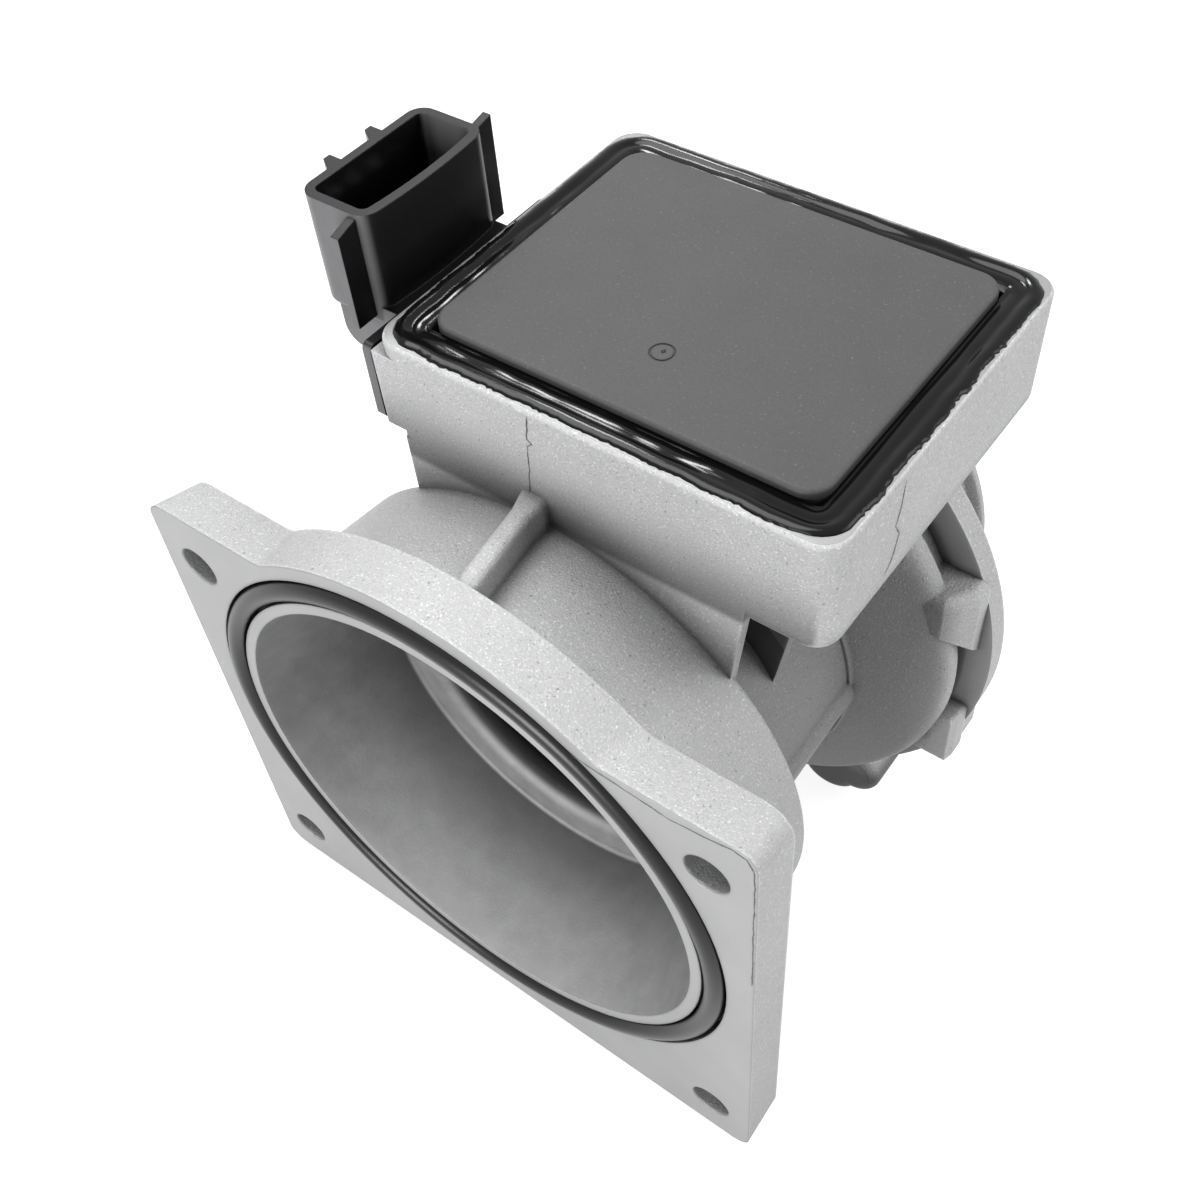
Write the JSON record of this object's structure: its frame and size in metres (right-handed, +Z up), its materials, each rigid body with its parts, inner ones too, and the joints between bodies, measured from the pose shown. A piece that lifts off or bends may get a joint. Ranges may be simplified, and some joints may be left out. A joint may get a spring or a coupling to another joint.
{
  "type": "mass airflow sensor",
  "caption": "Cast aluminium mass airflow sensor: square bolt flange with O-ring, waisted air duct, sealed electronics box, upright plug socket and rear hose collar.",
  "frame": {"origin": "centre of the inlet bore on the front face of the bolt flange", "axes": "+Z up through the lid, air flows along +Y from the flange to the hose collar, +X away from the plug socket"},
  "size_m": [0.1, 0.0919, 0.1245],
  "materials": {
    "cast_aluminium": "blasted casting",
    "collar_aluminium": "blasted casting",
    "seal_rubber": "matte",
    "lid_plastic": "fine matte grain",
    "sealant": "glossy",
    "socket_plastic": "satin moulding",
    "gasket_rubber": "matte",
    "terminal_metal": "tinned",
    "screw_steel": "zinc plated",
    "board_ceramic": "ceramic",
    "chip_plastic": "matte",
    "capacitor_ceramic": "satin",
    "lead_metal": "bright",
    "holder_plastic": "satin",
    "element_glass": "glazed winding"
  },
  "bodies": {
    "root": {"housing": "cast_aluminium", "inlet_seal": "seal_rubber", "lid": "lid_plastic", "lid_sealant": "sealant", "connector_body": "socket_plastic", "connector_gasket": "gasket_rubber", "connector_screws": "screw_steel", "circuit_board": "board_ceramic", "board_screws": "screw_steel", "control_chip": "chip_plastic", "power_transistor": "chip_plastic", "chip_capacitors": "capacitor_ceramic", "bond_leads": "lead_metal", "sensor_holder": "holder_plastic", "holder_seal": "gasket_rubber", "holder_screws": "screw_steel", "cold_wire": "element_glass", "hot_wire": "element_glass", "outlet_collar": "collar_aluminium", "collar_seal": "seal_rubber", "collar_screws": "screw_steel", "terminal_pin_1": "terminal_metal", "terminal_pin_2": "terminal_metal", "terminal_pin_3": "terminal_metal", "terminal_pin_4": "terminal_metal", "terminal_pin_5": "terminal_metal", "support_pin_1": "terminal_metal", "support_pin_2": "terminal_metal", "support_pin_3": "terminal_metal", "support_pin_4": "terminal_metal"}
  },
  "joints": []
}
